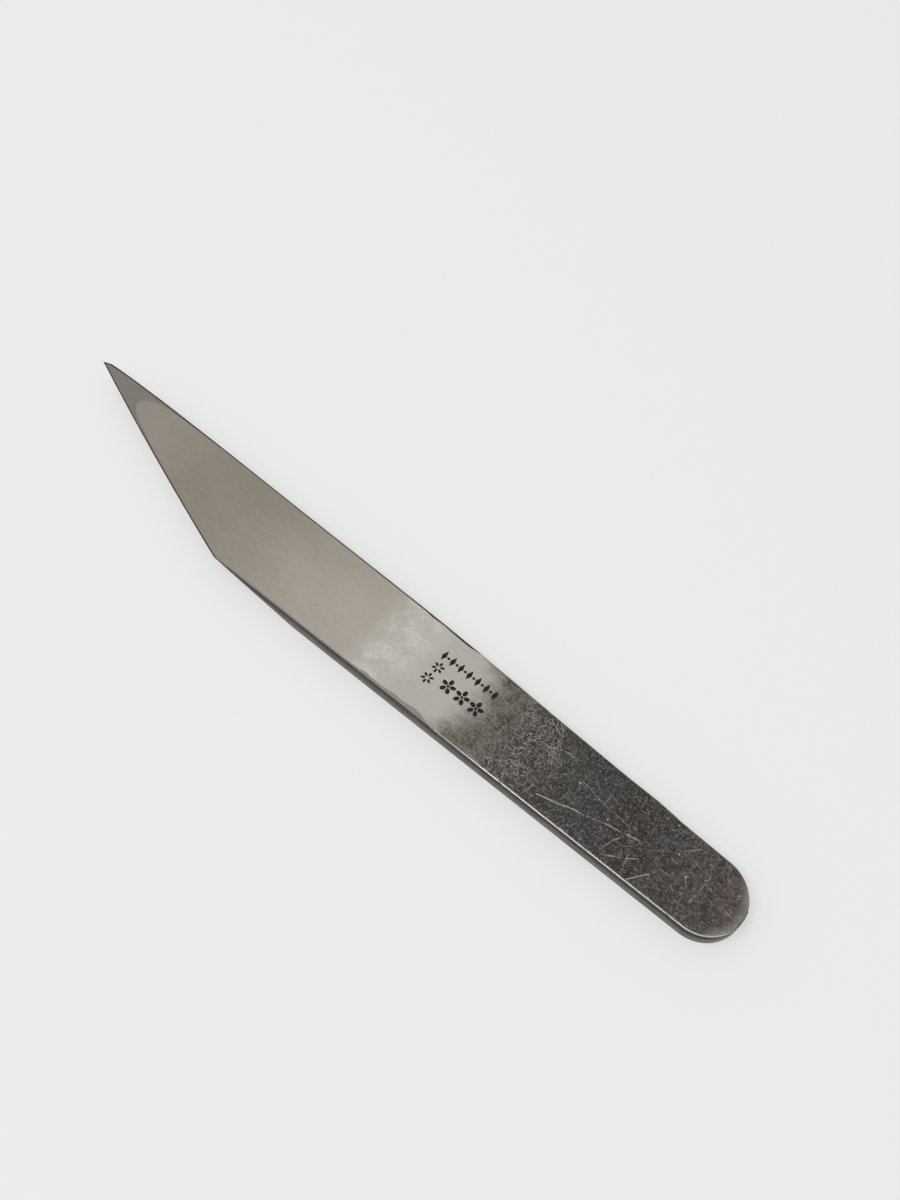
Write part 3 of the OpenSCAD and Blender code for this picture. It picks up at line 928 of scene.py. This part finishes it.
def forge_scale(name, dark, light):
    """Black iron oxide straight from the forge: a dark, grainy satin with rubs of grey metal where the bar
    was handled. Painted shade makes it blackest just under the upper edge, and a painted reflection of
    the pale table makes it lighter towards the bottom."""
    material, add = new_material(name)
    mm = millimetres(add)
    crust = grain(add, mm, (0.5, 0.5, 0.4), 3.0, 6.0)
    cloud = grain(add, mm, (9.0, 4.0, 0.7), 3.0, 15.0)
    # Painted shade and painted reflection: the dark colour near the upper edge stands for shade, the light
    # one lower down for the pale table's reflection, with slow noise wavering the line between
    up = add("SeparateXYZ", {0: mm}).outputs["Z"]
    height = add("Math", {0: cloud, 1: -1.2, 2: up}, operation="MULTIPLY_ADD")
    under = add("MapRange", {0: height, 1: 0.8, 2: 2.7})
    body = add("Mix", {0: under, 6: rgba(light), 7: rgba(dark)}, data_type="RGBA")
    body = tint(add, body, "#24211e", crust, 0.62, 0.32, 0.62)
    # Broad clouds where the scale lies thicker
    thick = grain(add, mm, (6.0, 4.0, 2.0), 4.0, 33.0)
    body = tint(add, body, "#2b2724", thick, 0.6, 0.36, 0.45)
    rub = add("MapRange", {0: cloud, 1: 0.48, 2: 0.7}, **SMOOTH)
    rough = add("MapRange", {0: crust, 1: 0.46, 2: 0.74, 4: 0.5}, **SMOOTH)
    rub = add("Math", {0: rub, 1: rough}, operation="MULTIPLY")
    body = add("Mix", {0: rub, 6: body, 7: rgba("#a09c95")}, data_type="RGBA")
    satin(add, body, crust, 0.38, 0.54, 0.02)
    return material


def worn_edge(finish):
    """Corners rubbed bright by handling: a thin line of bare metal with a few dark nicks left in it."""
    material, add = new_material("worn_bright_corner")
    mm = millimetres(add)
    nicks = grain(add, mm, (1.6, 0.6, 0.6), 3.0, 21.0)
    # The corner is only starting to show bare metal behind the blade, and is brightest along the handle
    along = add("SeparateXYZ", {0: mm}).outputs["X"]
    body = tint(add, rgba(finish.worn), "#7d7871", along, 44.0, 30.0, 0.92)
    body = tint(add, body, finish.scale, nicks, 0.54, 0.70, 0.6)
    satin(add, body, nicks, 0.16, 0.34, 0.005)
    return material


def honed_bevel(name, base, line, gloss):
    """The bevel as it leaves the stone, with fine lines that run up the slope: bright on the hard steel,
    cloudy and duller on the soft iron above it, so that the weld shows as a line along the edge."""
    material, add = new_material(name)
    mm = millimetres(add)
    # The lines lie 0.02 mm apart and are drawn 0.14 mm apart
    turn = math.radians(EDGE_ANGLE + 90)
    upslope = add("VectorRotate", {"Vector": mm, "Angle": turn}, rotation_type="Z_AXIS")
    lines = grain(add, upslope, (7.0, 0.14, 1.5), 3.0, 3.0)
    cloud = grain(add, mm, (3.5, 2.5, 1.0), 3.0, 12.0)
    body = tint(add, rgba(base), line, lines, 0.35, 0.68, 0.35)
    body = tint(add, body, "#6b6762", cloud, 0.4, 0.75, 0.3)
    satin(add, body, lines, gloss, gloss + 0.1, 0.002)
    return material


def struck_mark():
    """The walls of a punched mark: pressed metal that holds dark scale and old oil."""
    material, add = new_material("dark_struck_mark")
    crust = grain(add, millimetres(add), (0.25, 0.25, 0.25), seed=2.0)
    body = tint(add, rgba("#0f0e0d"), "#292623", crust, 0.3, 0.7)
    satin(add, body, crust, 0.5, 0.7, metallic=0.6)
    return material


def punches(shape, material):
    """Plain struck ornament: a row of upright lozenges with dots between them, over three blossoms of five
    petals, and two small rosettes of six beside them. All the punches are one object, to cut with."""
    plan = Plan(shape)
    start, end = shape.run_out_start / MM, shape.run_out_end / MM
    made = []

    def punch(x, y, wide, tall, sides, deep, turn=0.0):
        low, high = plan.hollow(x)
        face = STOCK - hollow_depth(x, y, low, high, shape.drum_radius / MM, start, end)
        deselect()
        bpy.ops.mesh.primitive_cone_add(
            vertices=sides, radius1=0, radius2=0.5 * MM * (1 + PUNCH_OVER / deep),
            depth=(deep + PUNCH_OVER) * MM, location=Vector((x, y, face + (PUNCH_OVER - deep) / 2)) * MM,
            rotation=(0, 0, turn), scale=(wide, tall, 1))
        made.append(bpy.context.active_object)

    def flower(x, y, petal, petals, reach, first):
        for k in range(petals):
            a = first + 2 * math.pi * k / petals
            punch(x + reach * math.cos(a), y + reach * math.sin(a), *petal, a)

    for i in range(LOZENGES):
        punch(ROW[0] + ROW_GAP * i, ROW[1], *LOZENGE)
    for i in range(LOZENGES - 1):
        punch(ROW[0] + ROW_GAP * (i + 0.5), ROW[1], *DOT)
    for x, y in ROSETTES:
        flower(x, y, ROSETTE_PETAL, petals=6, reach=0.8, first=math.pi / 6)
    for x, y in BLOSSOMS:
        punch(x, y, *DOT)
        flower(x, y, BLOSSOM_PETAL, petals=5, reach=1.0, first=math.pi / 2)
    deselect()
    for one in made:
        one.select_set(True)
    bpy.context.view_layer.objects.active = made[0]
    bpy.ops.object.join()
    tool = bpy.context.active_object
    settle(tool, "punches")
    tool.data.materials.append(material)
    return tool


def shared_material(name, make, *args):
    """The material of that name, made the first time that a piece asks for it."""
    return bpy.data.materials.get(name) or make(*args)


class OBJECT_OT_kiridashi_steel(bpy.types.Operator):
    """Adds the plate of hard steel with its hollow, its lands, its share of the bevel and its ornament"""

    bl_idname = "object.kiridashi_steel"
    bl_label = "Add Hard Steel Plate"
    bl_options = {"REGISTER", "UNDO"}

    def execute(self, context):
        shape, finish = context.scene.kiridashi_shape, context.scene.kiridashi_finish
        plate = forge_blank("hard_steel_plate", shape, (
            # The side scale's colours: dark for painted shade near the top, light for a painted reflection of
            # the table lower down
            forge_scale("steel_side_scale", "#1a1716", "#6e6964"),
            shared_material("belt_ground_steel_over_forge_scale", ground_over_scale, finish),
            honed_land(finish),
            shared_material("worn_bright_corner", worn_edge, finish),
            honed_bevel("stone_honed_steel_bevel", "#b9b6b0", "#dddbd6", 0.18),
            shared_material("painted_shade_rubbed_corner", rubbed_corner),
        ))
        cut(plate, steel_region(shape), "INTERSECT")
        cut(plate, punches(shape, struck_mark()), "DIFFERENCE", material_mode="TRANSFER")
        finish_piece(plate, "hard_steel_layer")
        return {"FINISHED"}


class OBJECT_OT_kiridashi_iron(bpy.types.Operator):
    """Adds the bar of soft iron, which is the whole handle and the upper part of the bevel"""

    bl_idname = "object.kiridashi_iron"
    bl_label = "Add Soft Iron Bar"
    bl_options = {"REGISTER", "UNDO"}

    def execute(self, context):
        shape, finish = context.scene.kiridashi_shape, context.scene.kiridashi_finish
        face = shared_material("belt_ground_steel_over_forge_scale", ground_over_scale, finish)
        bar = forge_blank("soft_iron_bar", shape, (
            # The side scale's colours: dark for painted shade near the top, light for a painted reflection of
            # the table lower down
            forge_scale("iron_forge_scale", "#1a1716", "#827d76"),
            face,
            face,
            shared_material("worn_bright_corner", worn_edge, finish),
            honed_bevel("stone_honed_iron_bevel", "#8f8c87", "#a9a6a1", 0.34),
            shared_material("painted_shade_rubbed_corner", rubbed_corner),
        ))
        cut(bar, steel_region(shape), "DIFFERENCE")
        finish_piece(bar, "soft_iron_body")
        return {"FINISHED"}


def pale_table(finish):
    """A smooth pale table top, matt enough to show only a soft shadow. The camera and reflections see it
    partly as a plain white ground."""
    material, add = new_material("matt_pale_table")
    lit = add("BsdfPrincipled", {
        "Base Color": rgba(finish.floor), "Roughness": 0.9, "Specular IOR Level": 0.0})
    plain = add("Emission", {"Color": rgba(finish.floor), "Strength": 1.0})
    rays = add("LightPath").outputs
    seen = rays["Is Camera Ray"]
    for other in ("Is Glossy Ray", "Is Transmission Ray"):
        seen = add("Math", {0: seen, 1: rays[other]}, operation="MAXIMUM")
    share = add("Math", {0: seen, 1: PLAIN_SHARE}, operation="MULTIPLY")
    add("OutputMaterial", {"Surface": add("MixShader", {0: share, 1: lit, 2: plain})})
    return material


def add_lamp(name, place, aim, size, strength):
    """A square soft lamp, placed in millimetres, whose face has the given strength, where 1 is white."""
    deselect()
    bpy.ops.object.light_add(type="AREA", location=Vector(place) * MM)
    lamp = bpy.context.active_object
    lamp.name = name
    lamp.data.name = name
    lamp.data.shape = "SQUARE"
    lamp.data.size = size * MM
    lamp.data.energy = strength * math.pi * (size * MM) ** 2
    lamp.rotation_euler = (Vector(aim) - Vector(place)).to_track_quat("-Z", "Y").to_euler()


class OBJECT_OT_kiridashi_stage(bpy.types.Operator):
    """Adds the pale table, the soft light and the camera over the knife"""

    bl_idname = "object.kiridashi_stage"
    bl_label = "Add Stage"
    bl_options = {"REGISTER", "UNDO"}

    def execute(self, context):
        stage, finish = context.scene.kiridashi_stage, context.scene.kiridashi_finish
        deselect()
        bpy.ops.mesh.primitive_plane_add(size=6.0, location=(0, 0, 0))
        table = bpy.context.active_object
        settle(table, "table_top")
        table.data.materials.append(pale_table(finish))
        table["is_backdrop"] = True

        # The first lamp is mirrored in the ground face behind its middle. The second gives most of the light
        add_lamp("ceiling_lamp", (-300, 270, 690), (12, 0, 3), 250, 0.33)
        add_lamp("softbox", (-270, -540, 1250), (0, 0, 0), 700, stage.softbox_light)

        world = bpy.data.worlds.new("even_room")
        world.use_nodes = True
        world.node_tree.nodes.clear()
        add = node_adder(world.node_tree)
        sky = add("Background", {"Color": rgba("#ffffff"), "Strength": stage.room_light})
        add("OutputWorld", {"Surface": sky})
        context.scene.world = world

        bpy.ops.object.camera_add(location=stage.camera_place)
        camera = context.active_object
        camera.name = "camera_over_knife"
        camera.rotation_euler = Vector(stage.camera_aim).to_track_quat("-Z", "Y").to_euler()
        camera.data.sensor_fit = "VERTICAL"
        camera.data.sensor_height = 24.0
        camera.data.lens = stage.focal_length
        camera.data.clip_start = 1 * MM
        camera.data.clip_end = 50.0
        context.scene.camera = camera
        context.scene.view_settings.view_transform = "Standard"
        return {"FINISHED"}


class VIEW3D_PT_kiridashi(bpy.types.Panel):
    """Lists the sizes, the colours and the buttons that build the knife"""

    bl_label = "Kiridashi"
    bl_idname = "VIEW3D_PT_kiridashi"
    bl_space_type = "VIEW_3D"
    bl_region_type = "UI"
    bl_category = "Kiridashi"

    def draw(self, context):
        layout = self.layout
        scene = context.scene
        for group in (scene.kiridashi_shape, scene.kiridashi_finish, scene.kiridashi_stage):
            box = layout.box()
            for name in type(group).__annotations__:
                box.prop(group, name)
        for operator in (OBJECT_OT_kiridashi_steel, OBJECT_OT_kiridashi_iron, OBJECT_OT_kiridashi_stage):
            layout.operator(operator.bl_idname)


CLASSES = (
    KiridashiShape, KiridashiFinish, KiridashiStage, OBJECT_OT_kiridashi_steel, OBJECT_OT_kiridashi_iron,
    OBJECT_OT_kiridashi_stage, VIEW3D_PT_kiridashi,
)


def register():
    for cls in CLASSES:
        bpy.utils.register_class(cls)
    bpy.types.Scene.kiridashi_shape = PointerProperty(type=KiridashiShape)
    bpy.types.Scene.kiridashi_finish = PointerProperty(type=KiridashiFinish)
    bpy.types.Scene.kiridashi_stage = PointerProperty(type=KiridashiStage)


def unregister():
    del bpy.types.Scene.kiridashi_stage
    del bpy.types.Scene.kiridashi_finish
    del bpy.types.Scene.kiridashi_shape
    for cls in reversed(CLASSES):
        bpy.utils.unregister_class(cls)


def main():
    register()
    bpy.ops.object.kiridashi_steel()
    bpy.ops.object.kiridashi_iron()
    bpy.ops.object.kiridashi_stage()
    deselect()
    boxes = {"cad": CAD_BOX, "visual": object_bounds()}
    {name: [list(corner) for corner in box] for name, box in boxes.items()}


if __name__ == "__main__":
    main()
